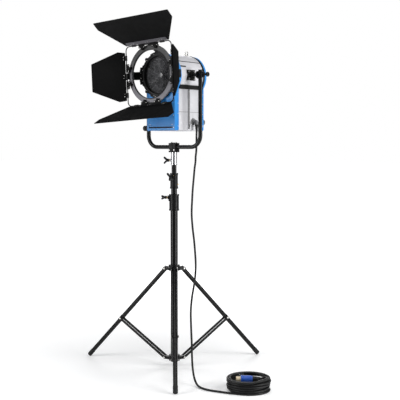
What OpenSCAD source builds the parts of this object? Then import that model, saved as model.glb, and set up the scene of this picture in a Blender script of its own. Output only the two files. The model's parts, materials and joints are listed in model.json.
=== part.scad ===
// Fresnel spotlight with four-leaf barndoors, on a yoke and a three-leg telescopic stand.
// Units are mm. The origin is on the floor on the column's axis, the lens faces -Y and +Z is up.

/* [Stand] */
// Distance from the column's axis to each foot
foot_reach = 622; // [602:1:642]
// Direction of the first leg, turned from -Y
stand_turn = 40.5; // [0:0.5:60]
// Outer diameter of the column
column_d = 44; // [43:1:46]
// Outer diameter of the middle riser
mid_riser_d = 36; // [34:1:37]
// Outer diameter of the top riser
top_riser_d = 30; // [28:1:30]
// Outer diameter of a leg
leg_d = 26; // [24:1:26]
// Width of the brace bars
brace_w = 15; // [14:1:18]
// Height of the leg hinges with the legs fully open
leg_hinge_z = 604; // [600:1:610]

/* [Yoke] */
// Height of the yoke's bottom tube
yoke_z = 1346; // [1344:1:1348]
// Distance from the middle to each yoke arm
yoke_half = 203; // [202:1:208]
// Diameter of the yoke's tube
yoke_tube_d = 25; // [23:1:25]
// Bend radius of the yoke's corners
yoke_bend = 70; // [60:1:75]

/* [Lamp head] */
// Height of the lens axis, which is the tilt axis too
lamp_z = 1771; // [1771:1:1780]
// Radius of the round upper part of the housing
shell_r = 128; // [127:0.5:128]
// Half width of the lower part of the housing
shell_w = 105.5; // [104:0.5:106]
// Depth of the lower part, under the lens axis
shell_drop = 328; // [324:1:330]
// Bevel radius of the housing's lower corners
corner_r = 8; // [4:1:12]

/* [Lens and barndoors] */
// Diameter of the fresnel lens
lens_d = 230; // [226:1:230]
// Number of steps in the fresnel lens
lens_steps = 12; // [6:1:16]
// Outer diameter of the barndoor ring
ring_d = 345; // [342:1:345]
// How far the barndoors are turned in their brackets
barndoor_turn = 3; // [0:1:5]
// Flare of the top leaf
top_flare = 42; // [30:1:50]
// Flare of the bottom leaf
bottom_flare = 28; // [20:1:35]
// Flare of the side leaves
side_flare = 50; // [45:1:60]

/* [Cable] */
// Diameter of the lead
cable_d = 12; // [10:1:12]
// Height of the coiled lead
coil_h = 76; // [72:1:80]

/* [Hidden] */
$fn = 64;
fit = 0.05;              // running clearance on a radius
leg_turns = [for (k = [0:2]) stand_turn + 120 * k];

leg_hinge_r = 60;
foot_up = 16;            // where a leg's axis meets its foot
leg_run = foot_reach - leg_hinge_r;
leg_rise = leg_hinge_z - foot_up;
leg_len = sqrt(leg_run * leg_run + leg_rise * leg_rise);
leg_lean = atan(leg_run / leg_rise);
leg_wall = 2.5;
ear_x = leg_d / 2 + 0.5; // inner face of the ears that hold a leg

brace_at = 465;          // along the leg, from its hinge
brace_foot_r = 61;
brace_foot_z = 54;
brace_run = leg_hinge_r + brace_at * sin(leg_lean) - brace_foot_r;
brace_rise = leg_hinge_z - brace_at * cos(leg_lean) - brace_foot_z;
brace_len = sqrt(brace_run * brace_run + brace_rise * brace_rise);
brace_lean = atan(brace_run / brace_rise);
brace_t = 3;
foot_r = leg_d / 2 + 1.2;
brace_x = foot_r + 0.8;  // inner face of the brace bars, which a folded leg's foot passes between

pin_r = 4;
wing_spread = 38;        // between each wing of a clamp knob and its screw
column_z = [40, 1010];
lower_clamp_z = [961, 1061];
mid_riser_z = [200, 1150];
upper_clamp_z = [1094, 1189];
top_riser_z = [340, 1246];
receiver_z = [1238, 1314];
spigot_r = 14;
lower_knob_z = 1041;
upper_knob_z = 1167;
receiver_knob_z = 1266;

saddle_z = [receiver_z[1] + 0.3, 1370];
yoke_r = yoke_tube_d / 2;
yoke_top = lamp_z + 24;
pivot_r = 6;

frame_y = [-122, -84];   // blue front frame
shell_y = [-84, 132];    // silver shell
skirt_y = 122;           // front of the rear gasket's skirt
cover_y = [138, 158];    // blue rear cover
frame_extra = 2.5;       // how much the front frame stands out past the shell
cover_extra = 2;
wall = 2;
opening_r = 119.5;

door_y = [-145, -122.6];
door_r = 137;
door_hinge = [-147, -131];
latch_turn = 63;         // of the door's latch, from straight down
lens_r = lens_d / 2;
ring_y = [-211, -203];
ring_ri = 140.5;
lip_front_y = -215;
ring_stop = 173.3;       // inner face of the brackets that reach over the ring's edge
hinge_y = -223;
hinge_r = 176;           // distance of each leaf's hinge rod from the lens axis
rod_r = 3;
leaf_t = 2;
leaf_gap = 6.2;           // from the hinge rod to the leaf's edge
wide_leaf = [165, 288, 208];  // half width at the hinge, half width outside, length
side_leaf = [142, 82, 210];
knuckles = [[-110, 30], [0, 40], [110, 30]];  // middle and length of each hinge barrel
tabs = [-50, 50];         // hinge plates beside each leaf's middle barrel

carriage_y = 20;         // the lamp's place on the lens axis
guide_x = 60;
guide_z = -200;
focus_axis = [-100, -313];
drum_r = 8;
gland = [52, -273];

// The lead's route, as [right, forward, up] seen from in front of the stand's first leg
route_turn = 40;
head_route = [[134, 52, 1468], [136, 50, 1449], [140, 43, 1420], [147, 34, 1387]];
yoke_route = [[148.5, 31.5, 1381], [152, 27, 1362], [156, 22, 1338], [157, 18, 1312], [155, 16, 1290]];
floor_route = [
    [129, 87.4, 1287.5], [128, 89, 1260], [122, 94, 1215], [118, 101, 1170], [111, 115, 1095],
    [107, 125, 1030], [104, 140, 950], [109, 160, 870], [117, 180, 800], [123, 200, 725],
    [126, 215, 665], [124, 231, 605], [116, 246, 545], [103, 264, 470], [96, 283, 395],
    [97, 308, 310], [100, 340, 220], [101, 366, 150], [104, 392, 92], [112, 425, 42],
    [126, 466, 14], [148, 514, 6.5], [186, 562, 6.5], [238, 595, 6.5], [310, 635, 6.5]
];
coil_at = [410, 549];
coil_r = [98, 128];
coil_floor_r = 61;       // the lower inner turns that the connector lies on
coil_floor_h = 48.5;

function place(p) = [
    p[0] * cos(route_turn) + p[1] * sin(route_turn),
    p[0] * sin(route_turn) - p[1] * cos(route_turn),
    p[2]
];

// ---- plain shapes -------------------------------------------------------------------------

module box(x, y, z) translate([x[0], y[0], z[0]]) cube([x[1] - x[0], y[1] - y[0], z[1] - z[0]]);

module rod_x(r, x, y = 0, z = 0) translate([x[0], y, z]) rotate([0, 90, 0]) cylinder(h = x[1] - x[0], r = r);

module rod_y(r, y, x = 0, z = 0) translate([x, y[1], z]) rotate([90, 0, 0]) cylinder(h = y[1] - y[0], r = r);

module rod_z(r, z, x = 0, y = 0) translate([x, y, z[0]]) cylinder(h = z[1] - z[0], r = r);

module both_sides() {
    children();
    mirror([1, 0, 0]) children();
}

// A round top on a box with rounded lower corners, as thick as y says
module keyhole(r, w, drop, y, c = corner_r) {
    rod_y(r, y);
    box([-w, w], y, [-drop + c, 0]);
    box([-w + c, w - c], y, [-drop, 0]);
    for (x = [-w + c, w - c]) rod_y(c, y, x, -drop + c);
}

// ---- stand --------------------------------------------------------------------------------

module column_tube() color("#1c1c1e") difference() {
    rod_z(column_d / 2, column_z);
    rod_z(column_d / 2 - 2.5, [column_z[0] - 1, column_z[1] + 1]);
}

module brace_collar() color("#222224") {
    lug_x = brace_x - 0.5;
    head_x = brace_x + brace_t + 0.5;
    difference() {
        rod_z(33, [40, 76]);
        rod_z(column_d / 2, [39, 77]);
    }
    for (t = leg_turns) rotate([0, 0, t]) difference() {
        union() {
            box([-lug_x, lug_x], [-brace_foot_r, -30], [brace_foot_z - 9, brace_foot_z + 9]);
            rod_x(9.5, [-lug_x, lug_x], -brace_foot_r, brace_foot_z);
            rod_x(pin_r, [-head_x - 3, head_x + 3], -brace_foot_r, brace_foot_z);
            both_sides() rod_x(7, [head_x, head_x + 3], -brace_foot_r, brace_foot_z);
        }
        rod_z(32, [39, 77]);
    }
}

module leg_collar() color("#222224") {
    difference() {
        union() {
            rod_z(34, [595, 631]);
            for (t = leg_turns) rotate([0, 0, t]) both_sides() {
                box([ear_x, ear_x + 4], [-leg_hinge_r, -20], [leg_hinge_z - 8, leg_hinge_z + 12]);
                rod_x(12, [ear_x, ear_x + 4], -leg_hinge_r, leg_hinge_z);
            }
        }
        rod_z(column_d / 2 + 0.08, [590, 636]);
    }
    for (t = leg_turns) rotate([0, 0, t]) {
        rod_x(pin_r, [-ear_x - 6.5, ear_x + 6.5], -leg_hinge_r, leg_hinge_z);
        both_sides() rod_x(7, [ear_x + 4, ear_x + 6.5], -leg_hinge_r, leg_hinge_z);
    }
}

module on_leg(t) rotate([0, 0, t]) translate([0, -leg_hinge_r, leg_hinge_z])
    rotate([-leg_lean, 0, 0]) children();

module leg(t) color("#1c1c1e") on_leg(t) difference() {
    union() {
        rod_z(leg_d / 2, [-leg_len + 4, 10]);
        rod_z(brace_x - 0.3, [-brace_at - 16, -brace_at + 16]);
    }
    rod_z(leg_d / 2 - leg_wall, [-leg_len + 3, -16]);
    rod_x(pin_r + fit, [-leg_d, leg_d]);
}

// A rubber cap on the leg's end, cut flat where it stands on the floor
module foot(t) color("#0c0c0c") difference() {
    on_leg(t) difference() {
        rod_z(foot_r, [-leg_len - 10, -leg_len + 34]);
        rod_z(leg_d / 2, [-leg_len + 4, -leg_len + 60]);
    }
    rotate([0, 0, t]) box([-30, 30], [-foot_reach - 50, -foot_reach + 50], [-20, 0]);
}

module brace(t) color("#222224") rotate([0, 0, t]) translate([0, -brace_foot_r, brace_foot_z])
    rotate([brace_lean, 0, 0]) both_sides() {
        difference() {
            union() {
                box([brace_x, brace_x + brace_t], [-brace_w / 2, brace_w / 2], [0, brace_len]);
                for (z = [0, brace_len]) rod_x(brace_w / 2, [brace_x, brace_x + brace_t], 0, z);
            }
            rod_x(pin_r + fit, [brace_x - 1, brace_x + brace_t + 1]);
        }
        rod_x(7, [brace_x + brace_t, brace_x + brace_t + 3], 0, brace_len);
    }

module leg_1() leg(leg_turns[0]);
module leg_2() leg(leg_turns[1]);
module leg_3() leg(leg_turns[2]);
module foot_1() foot(leg_turns[0]);
module foot_2() foot(leg_turns[1]);
module foot_3() foot(leg_turns[2]);
module brace_1() brace(leg_turns[0]);
module brace_2() brace(leg_turns[1]);
module brace_3() brace(leg_turns[2]);

// A cast clamp: r is its radius, z its ends, low and high its bores, and screw_z the clamp screw's height
module clamp(r, z, low, high, screw_z, boss) difference() {
    union() {
        rod_z(r, z);
        rod_z(r + 2, [z[0], z[0] + 8]);
        rod_z(r + 1.5, [z[1] - 10, z[1]]);
        rod_x(12, [-boss, 0], 0, screw_z);
        box([-boss + 6, 0], [-10, 10], [screw_z - 22, screw_z + 12]);
    }
    rod_z(low[0], [z[0] - 1, low[1]]);
    rod_z(high, [low[1] - 1, z[1] + 1]);
    rod_x(pin_r + fit, [-boss - 1, -10], 0, screw_z);
}

module lower_clamp() color("#222224") rotate([0, 0, route_turn])
    clamp(29, lower_clamp_z, [column_d / 2, column_z[1]], mid_riser_d / 2 + fit, lower_knob_z, 40);

module upper_clamp() color("#222224") rotate([0, 0, route_turn + 60])
    clamp(23, upper_clamp_z, [mid_riser_d / 2, mid_riser_z[1]], top_riser_d / 2 + fit, upper_knob_z, 33);

module mid_riser_tube() color("#2a2a2c") difference() {
    rod_z(mid_riser_d / 2, mid_riser_z);
    rod_z(mid_riser_d / 2 - 2, [mid_riser_z[0] - 1, mid_riser_z[1] + 1]);
}

module top_riser_tube() color("#2a2a2c") difference() {
    rod_z(top_riser_d / 2, top_riser_z);
    rod_z(top_riser_d / 2 - 2.5, [top_riser_z[0] - 1, top_riser_z[1] + 1]);
}

module receiver() color("#b8b8bc") rotate([0, 0, route_turn]) difference() {
    union() {
        rod_z(17.5, receiver_z);
        rod_z(19.5, [receiver_z[0], receiver_z[0] + 7]);
        rod_z(18.5, [receiver_z[1] - 8, receiver_z[1]]);
        rod_x(9, [-25, 0], 0, receiver_knob_z);
    }
    rod_z(top_riser_d / 2, [receiver_z[0] - 1, top_riser_z[1]]);
    rod_z(spigot_r + fit, [top_riser_z[1] - 1, receiver_z[1] + 1]);
    rod_x(pin_r + fit, [-26, -10], 0, receiver_knob_z);
}

// A clamp screw with a two-winged knob, its tip at x = -tip and its knob outside x = -face.
// The wings spread outwards, turned by spin about the screw.
module wing_knob(tip, face, spin) rotate([spin, 0, 0]) {
    rod_x(pin_r, [-face - 14, -tip]);
    rod_x(7, [-face - 4, -face]);
    rod_x(10, [-face - 18, -face - 4]);
    for (s = [-1, 1]) translate([-face - 12, 0, 0]) rotate([0, 0, s * wing_spread]) {
        box([-30, 0], [-6, 6], [-5, 5]);
        rod_z(6, [-5, 5], -30, 0);
    }
}

module lower_knob() color("#151515") rotate([0, 0, route_turn]) translate([0, 0, lower_knob_z])
    wing_knob(19, 40.5, 20);

module upper_knob() color("#151515") rotate([0, 0, route_turn + 60]) translate([0, 0, upper_knob_z])
    wing_knob(16, 33.5, 70);

module receiver_knob() color("#151515") rotate([0, 0, route_turn]) translate([0, 0, receiver_knob_z])
    wing_knob(15, 25.5, 55);

// ---- yoke ---------------------------------------------------------------------------------

module yoke_path(r) {
    straight = yoke_half - yoke_bend;
    rod_x(r, [-straight, straight], 0, yoke_z);
    both_sides() {
        translate([straight, 0, yoke_z + yoke_bend]) rotate([90, 90, 0]) rotate_extrude(angle = 90)
            translate([yoke_bend, 0]) circle(r);
        rod_z(r, [yoke_z + yoke_bend, yoke_top], yoke_half);
    }
}

module yoke_tube() color("#18181a") difference() {
    yoke_path(yoke_r);
    yoke_path(yoke_r - 2.2);
    rod_x(pivot_r + fit, [-yoke_half - 20, yoke_half + 20], 0, lamp_z);
}

module saddle() color("#161616") difference() {
    union() {
        box([-25, 25], [-21, 21], saddle_z);
        rod_z(19, [saddle_z[0], saddle_z[0] + 20]);
        for (x = [-18, 18]) rod_z(5, [saddle_z[0], saddle_z[1] + 5], x, 0);
    }
    rod_x(yoke_r, [-30, 30], 0, yoke_z);
    rod_z(spigot_r, [saddle_z[0] - 1, saddle_z[0] + 12]);
}

module spigot() color("#c4c4c8") {
    rod_z(spigot_r, [top_riser_z[1] + 2, saddle_z[0] + 12]);
    for (y = [-24, 21]) box([-4, 4], [y, y + 3], [saddle_z[0] + 4, saddle_z[1] + 3]);
    box([-4, 4], [-24, 24], [saddle_z[1], saddle_z[1] + 3]);
}

module tilt_knob() color("#121212") translate([0, 0, lamp_z]) {
    face = yoke_half + yoke_r + 0.5;
    difference() {
        union() {
            rod_x(17, [face, face + 13]);
            for (t = [0:60:300]) rotate([t, 0, 0]) rod_x(4, [face, face + 13], 15, 0);
            rod_x(7, [face + 13, face + 34]);
            rod_x(14, [face + 34, face + 47]);
        }
        rod_x(pivot_r + fit, [face - 1, face + 8]);
    }
}

// ---- lamp head ----------------------------------------------------------------------------

module at_head() translate([0, 0, lamp_z]) children();

module pivot_boss() difference() {
    union() {
        box([100, 138], [-34, 34], [-31, 31]);
        rod_x(18, [130, 150]);
        rod_x(9, [150, yoke_half - yoke_r - 8]);
        rod_x(22, [yoke_half - yoke_r - 8, yoke_half - yoke_r - 0.7]);
        for (y = [-24, 24], z = [-21, 21]) rod_x(5, [138, 141], y, z);
        rod_x(pivot_r, [138, yoke_half + yoke_r + 5]);
    }
    keyhole(shell_r, shell_w, shell_drop, [-60, 60]);
    for (y = [-36, 36]) rod_x(9, [90, 139], y, 0);
    for (z = [-34, 34]) rod_x(9, [90, 139], 0, z);
}

module pivot_boss_right() color("#141414") at_head() pivot_boss();

module pivot_boss_left() color("#141414") at_head() mirror([1, 0, 0]) {
    pivot_boss();
    rod_x(13, [yoke_half + yoke_r + 0.5, yoke_half + yoke_r + 9]);
}

module front_frame() color("#2d7dcd") at_head() difference() {
    keyhole(shell_r + frame_extra, shell_w + frame_extra, shell_drop, frame_y);
    rod_y(opening_r, [frame_y[0] - 1, frame_y[1] + 1]);
    keyhole(shell_r - 3, shell_w - 3.5, shell_drop - 5, [frame_y[0] + 6, frame_y[1] + 1], corner_r - 3);
    box([-94, 94], [frame_y[0] - 1, frame_y[0] + 1.5], [-299, -60]);
    box([-93, 93], [frame_y[0] - 1, frame_y[0] + 7], [-313, -305]);
    rod_x(5 + fit, [-shell_w - 9, -80], focus_axis[0], focus_axis[1]);
}

module front_baffle() color("#202022") at_head()
    box([-96, 96], [frame_y[0] + 6, frame_y[0] + 8], [-322, -130]);

module housing_shell() color("#dcdae0") at_head() difference() {
    keyhole(shell_r, shell_w, shell_drop, shell_y);
    keyhole(shell_r - wall, shell_w - wall, shell_drop - wall, [shell_y[0] - 1, shell_y[1] + 1], corner_r - wall);
}

module shell_trim() color("#6c6c70") at_head() {
    both_sides() {
        box([shell_w, shell_w + 3], [3, 19], [-shell_drop + 12, -82]);
        box([shell_w, shell_w + 1], [shell_y[0], 3], [-218, -216]);
        box([shell_w, shell_w + 1], [19, skirt_y], [-218, -216]);
        for (seam = [[51, 2.5, skirt_y], [67, 4, -30]]) rotate([0, seam[0], 0]) difference() {
            box([-seam[1], seam[1]], [shell_y[0], seam[2]], [shell_r - 2, shell_r + 1]);
            rod_y(shell_r, [shell_y[0] - 1, shell_y[1] + 1]);
        }
    }
}

// The two black side rails, and the gasket between the shell and the rear cover with its skirt
module rubber_trim() color("#121212") at_head() {
    difference() {
        union() {
            both_sides() box([95, shell_r - 9], shell_y, [-82, -58]);
            keyhole(shell_r + 1.5, shell_w + 1.5, shell_drop - 20, [skirt_y + 0.3, shell_y[1]]);
        }
        keyhole(shell_r, shell_w, shell_drop, [shell_y[0] - 1, shell_y[1] + 1]);
    }
    difference() {
        keyhole(shell_r + 1.5, shell_w + 1.5, shell_drop, [shell_y[1], cover_y[0]]);
        keyhole(shell_r - 5, shell_w - 5, shell_drop - 5, [shell_y[1] - 1, cover_y[0] + 1], 4);
    }
}

module rear_cover() color("#2d7dcd") at_head() {
    r = shell_r + cover_extra;
    w = shell_w + cover_extra;
    difference() {
        union() {
            keyhole(r, w, shell_drop, [cover_y[0], cover_y[1] - 6]);
            keyhole(r - 4, w - 4, shell_drop - 4, [cover_y[1] - 6, cover_y[1]], corner_r - 3);
        }
        keyhole(r - 5, w - 5, shell_drop - 5, [cover_y[0] - 1, cover_y[1] - 4], corner_r - 4);
        for (z = [-60:-14:-144]) box([-62, 62], [cover_y[1] - 5, cover_y[1] + 1], [z - 5, z]);
    }
}

module rear_knob() color("#3a3a3c") at_head() {
    for (x = [-88, 88]) {
        rod_y(18, [cover_y[1] + 0.3, cover_y[1] + 16], x, -275);
        rod_y(5, [cover_y[1], cover_y[1] + 0.3], x, -275);
    }
}

module safety_eye() color("#8c8c90") at_head() difference() {
    union() {
        box([-14, 14], [108, skirt_y], [shell_r - 6, shell_r + 3]);
        box([-8, 8], [115, 121], [shell_r, shell_r + 16]);
        rod_y(13, [115, 121], 0, shell_r + 18);
    }
    rod_y(7, [114, 122], 0, shell_r + 18);
    rod_y(shell_r, [100, 130]);
}

module guide_rods() color("#a0a0a4") at_head()
    for (x = [-guide_x, guide_x]) rod_y(5, [frame_y[0] + 8, cover_y[1] - 4], x, guide_z);

module lamp_carriage() color("#4a4a4e") at_head() {
    difference() {
        union() {
            box([-76, 76], [carriage_y - 34, carriage_y + 34], [guide_z + 6, guide_z + 11]);
            for (x = [-guide_x, guide_x]) rod_y(9, [carriage_y - 30, carriage_y + 30], x, guide_z);
        }
        for (x = [-guide_x, guide_x]) rod_y(5 + fit, [carriage_y - 40, carriage_y + 40], x, guide_z);
    }
    box([-38, -30], [carriage_y - 14, carriage_y + 14], [focus_axis[1] + drum_r + 1.6, guide_z + 6]);
    difference() {
        box([-22, 22], [carriage_y + 30, carriage_y + 34], [guide_z + 11, -46]);
        translate([0, carriage_y, 0]) sphere(62);
    }
}

module lamp_socket() color("#e6e2d8") at_head() {
    box([-26, 26], [carriage_y - 18, carriage_y + 18], [guide_z + 11, guide_z + 30]);
    rod_z(17, [guide_z + 30, -62], 0, carriage_y);
}

module lamp_bulb() color("#dfe8ee") at_head() {
    rod_z(9, [-62, -18], 0, carriage_y);
    translate([0, carriage_y, 0]) sphere(20);
    rod_z(7, [18, 34], 0, carriage_y);
}

module reflector() color("#d8d8dc") at_head() difference() {
    translate([0, carriage_y, 0]) sphere(62);
    translate([0, carriage_y, 0]) sphere(60);
    box([-70, 70], [carriage_y - 70, carriage_y + 16], [-70, 70]);
}

module focus_knob() color("#121212") at_head() translate([0, focus_axis[0], focus_axis[1]]) {
    rod_x(15, [-150, -128]);
    rod_x(12, [-128, -shell_w - frame_extra - 0.5]);
    for (t = [0:45:315]) rotate([t, 0, 0]) rod_x(2, [-150, -130], 14.6, 0);
    rod_x(5, [-shell_w - 4, -26]);
    rod_x(drum_r, [-41, -26]);
}

module focus_belt() color("#303034") at_head() {
    top = focus_axis[1] + drum_r + 0.8;
    rear = 112;
    rod_y(0.6, [focus_axis[0], rear], -34, top);
    rod_x(drum_r, [-40, -28], rear, focus_axis[1]);
    rod_x(3, [-28, -22], rear, focus_axis[1]);
    box([-26, -22], [rear - 12, rear + 12], [-shell_drop + wall, focus_axis[1] + 8]);
}

module cable_gland() color("#2c2c30") at_head() translate([0, gland[0], gland[1]]) {
    rod_x(21, [shell_w, shell_w + 6]);
    rod_x(14, [shell_w + 6, 134]);
    translate([134, 0, 0]) sphere(14);
    rod_z(12, [-22, 0], 134);
    rod_z(9, [-29, -22], 134);
}

// ---- lens door ----------------------------------------------------------------------------

module door_hinge() color("#101010") at_head() {
    x = door_hinge[0];
    y = door_hinge[1];
    for (z = [[-50, -36], [-10, 10], [36, 50]]) {
        rod_z(6, z, x, y);
        box([x - 6, x + 6], [y, -100], z);
        difference() {
            box([x, -100], [-112, -100], z);
            rod_y(shell_r + frame_extra, frame_y);
        }
    }
    rod_z(pin_r - 1, [-52, 52], x, y);
}

module lens_door() color("#161616") at_head() difference() {
    union() {
        rod_y(door_r - 7, door_y);
        intersection() {
            rod_y(door_r, [door_y[0] + 1, door_y[1] - 1]);
            for (t = [0:90:270]) rotate([0, t, 0]) box([-62, 62], door_y, [90, door_r + 1]);
        }
        rod_y(117, [door_y[1] - 1, -108]);
        for (t = [45, 135, 225, 315]) rotate([0, t, 0]) {
            rod_y(10, [-143, -125], door_r - 3, 0);
            rod_y(4.5, [-147, -143], door_r - 3, 0);
        }
        for (z = [[-35.5, -10.5], [10.5, 35.5]]) {
            rod_z(6, z, door_hinge[0], door_hinge[1]);
            box([door_hinge[0], -120], [-143, -125], z);
        }
    }
    rod_y(112, [-146, -100]);
    rod_y(lens_r + 0.3, [-124, -100]);
    for (z = [[-53, -35.5], [-10.5, 10.5], [35.5, 53]]) rod_z(7, z, door_hinge[0], door_hinge[1]);
    rod_z(pin_r - 1 + fit, [-53, 53], door_hinge[0], door_hinge[1]);
}

module fresnel_lens() color("#8f9aa2") at_head() rotate([90, 0, 0]) translate([0, 0, 112]) rotate_extrude()
    polygon(concat(
        [[0, 0], [lens_r, 0]],
        [for (k = [lens_steps:-1:1], e = [1, 0])
            [lens_r * (k - 1 + e) / lens_steps, e > 0 ? 7 : 7 + 4.5 * k / lens_steps]]
    ));

module lens_retainer() color("#b4b4b8") at_head() difference() {
    rod_y(lens_r, [-112, -109]);
    rod_y(lens_r - 6, [-113, -108]);
}

// One bracket that holds the barndoor ring, standing over the top of the lens door
module accessory_bracket() {
    box([-24, 24], [-149, door_y[0]], [120, ring_stop + 3]);
    box([-24, 24], [ring_y[0] - 4.5, -145], [ring_stop, ring_stop + 3.2]);
    box([-24, 24], [ring_y[0] - 4.5, ring_y[0] - 1], [164, ring_stop + 1]);
    box([-24, 24], [ring_y[1] + 1, ring_y[1] + 4.5], [160, ring_stop + 1]);
    for (x = [-14, 14]) rod_y(5, [-152, -149], x, 129);
}

module accessory_brackets() color("#121212") at_head() {
    for (t = [90, 180, 270]) rotate([0, t, 0]) accessory_bracket();
    box([-22, 22], [-149, door_y[0]], [118, 150]);
    for (s = [-1, 1]) difference() {
        union() {
            rod_x(6, s < 0 ? [-22, -15] : [15, 22], -155, 156);
            box(s < 0 ? [-22, -15] : [15, 22], [-159, -145], [140, 156]);
        }
        rod_x(pin_r - 1 + fit, [-23, 23], -155, 156);
    }
}

module top_latch() color("#161616") at_head() {
    rod_x(6, [-14.5, 14.5], -155, 156);
    rod_x(pin_r - 1, [-24, 24], -155, 156);
    box([-14, 14], [-158, -152], [156, ring_stop + 3]);
    box([-14, 14], [ring_y[0] - 4.5, -152], [ring_stop, ring_stop + 3.2]);
    box([-14, 14], [ring_y[0] - 4.5, ring_y[0] - 1], [164, ring_stop + 1]);
    box([-8, 8], [-158, -152], [ring_stop + 2, 190]);
}

module door_latch() color("#1a1a1a") at_head() rotate([0, -latch_turn, 0]) {
    rod_y(7, [-152.5, -145.5], 0, -126);
    box([-6, 6], [-152, -147], [-150, -126]);
    rod_y(6, [-152, -147], 0, -150);
    box([-3, 3], [-158, -152], [-148, -122]);
}

// ---- barndoors ----------------------------------------------------------------------------

module at_barndoor() at_head() rotate([0, -barndoor_turn, 0]) children();

module barndoor_ring() color("#6e6c73") at_barndoor() difference() {
    union() {
        rod_y(ring_d / 2, ring_y);
        rod_y(ring_ri + 3, [lip_front_y, ring_y[1]]);
    }
    rod_y(ring_ri, [lip_front_y - 1, ring_y[1] + 1]);
}

module barndoor_frame() color("#1c1c1e") at_barndoor() for (t = [0:90:270]) rotate([0, t, 0]) {
    bend = 26;
    rod_x(rod_r, [-hinge_r + bend, hinge_r - bend], hinge_y, hinge_r);
    translate([hinge_r - bend, hinge_y, hinge_r - bend]) rotate([90, 0, 0]) rotate_extrude(angle = 90)
        translate([bend, 0]) circle(rod_r);
    for (x = tabs) {
        box([x - 24, x + 24], [hinge_y - 1.5, hinge_y + 1.5], [156, hinge_r]);
        box([x - 6, x + 6], [hinge_y - 1.5, hinge_y + 1.5], [146, 158]);
        box([x - 6, x + 6], [hinge_y - 1.5, ring_y[0]], [146, 153]);
        rod_x(5, [x - 24, x + 24], hinge_y, hinge_r);
    }
}

// Places a leaf on its hinge rod, opened by flare from the lens axis
module on_hinge(turn, flare) at_barndoor() rotate([0, turn, 0]) translate([0, hinge_y, hinge_r])
    rotate([-flare, 0, 0]) children();

module leaf(outline, strip_w) {
    difference() {
        union() {
            for (k = knuckles) {
                rod_x(6, [k[0] - k[1] / 2, k[0] + k[1] / 2]);
                box([k[0] - k[1] / 2, k[0] + k[1] / 2], [-leaf_gap - 2, 0], [-leaf_t / 2, leaf_t / 2]);
            }
            translate([0, 0, -leaf_t / 2]) linear_extrude(leaf_t) polygon(outline);
            box([-strip_w, strip_w], [-leaf_gap - 20, -leaf_gap - 2], [-leaf_t / 2 - 1.2, 0]);
        }
        rod_x(rod_r + fit, [-200, 200]);
    }
    for (k = knuckles, dx = [-8, 8]) rod_z(2.5, [-leaf_t / 2 - 2.6, leaf_t / 2 + 1.4], k[0] + dx, -leaf_gap - 11);
}

module wide_leaf_plate() {
    w0 = wide_leaf[0];
    w1 = wide_leaf[1];
    end = wide_leaf[2];
    left = [[-w0, -leaf_gap], [-w1, 53 - end], [-w1, -end]];
    right = [[w1, -end], [w1, 53 - end], [w0, -leaf_gap]];
    leaf(concat(left, right), w0 - 6);
}

module side_leaf_plate() {
    w0 = side_leaf[0];
    w1 = side_leaf[1];
    end = side_leaf[2];
    left = [[-w0, -leaf_gap], [-w0 - 6, -50], [-w1, -end]];
    right = [[w1, -end], [w0 + 6, -50], [w0, -leaf_gap]];
    leaf(concat(left, right), w0 - 6);
}

module leaf_top() color("#161616") on_hinge(0, top_flare) wide_leaf_plate();
module leaf_right() color("#161616") on_hinge(90, side_flare) side_leaf_plate();
module leaf_bottom() color("#161616") on_hinge(180, bottom_flare) wide_leaf_plate();
module leaf_left() color("#161616") on_hinge(270, side_flare) side_leaf_plate();

// ---- lead ---------------------------------------------------------------------------------

function unit(v) = v / norm(v);

// A smooth curve through the route's points, with one more point halfway along each stretch
function smooth(p) = [
    for (i = [0:len(p) - 2], h = [0, 1])
        h == 0 ? p[i] : let (
            a = p[max(i - 1, 0)], b = p[i], c = p[i + 1], d = p[min(i + 2, len(p) - 1)]
        ) (9 * (b + c) - a - d) / 16,
    p[len(p) - 1]
];

function heading(p, i) = unit(p[min(i + 1, len(p) - 1)] - p[max(i - 1, 0)]);

module tube_along(p, r, sides = 10) {
    n = len(p);
    rings = [for (i = [0:n - 1]) let (
        t = heading(p, i), u = unit(cross(t, [0, 1, 0])), v = cross(t, u)
    ) for (k = [0:sides - 1]) p[i] + r * (cos(360 * k / sides) * u + sin(360 * k / sides) * v)];
    sides_faces = [for (i = [0:n - 2], k = [0:sides - 1]) let (m = (k + 1) % sides)
        [i * sides + k, (i + 1) * sides + k, (i + 1) * sides + m, i * sides + m]];
    polyhedron(rings, concat(
        sides_faces,
        [[for (k = [0:sides - 1]) k]],
        [[for (k = [sides - 1:-1:0]) (n - 1) * sides + k]]
    ));
}

module cable_head() color("#0e0e0e") tube_along(head_route, cable_d / 2);
module cable_yoke() color("#0e0e0e") tube_along(yoke_route, cable_d / 2);
module cable_floor() color("#0e0e0e") tube_along([for (p = smooth(floor_route)) place(p)], cable_d / 2);

module at_coil() translate(place([coil_at[0], coil_at[1], 0])) rotate([0, 0, route_turn]) children();

module cable_coil() color("#0e0e0e") at_coil() rotate_extrude() difference() {
    union() {
        translate([coil_r[0], 0]) square([coil_r[1] - coil_r[0], coil_h]);
        translate([coil_floor_r, 0]) square([coil_r[0] - coil_floor_r, coil_floor_h]);
    }
    translate([coil_r[1] - 6, coil_h - 6]) difference() {
        square(7);
        circle(6);
    }
}

module connector() color("#1f52b8") at_coil() translate([0, 0, coil_floor_h + 15]) {
    rod_x(19, [-38, 26]);
    rod_x(15, [26, 48]);
    rod_x(21, [-42, -34]);
    rod_x(14, [-68, -42]);
}

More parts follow.
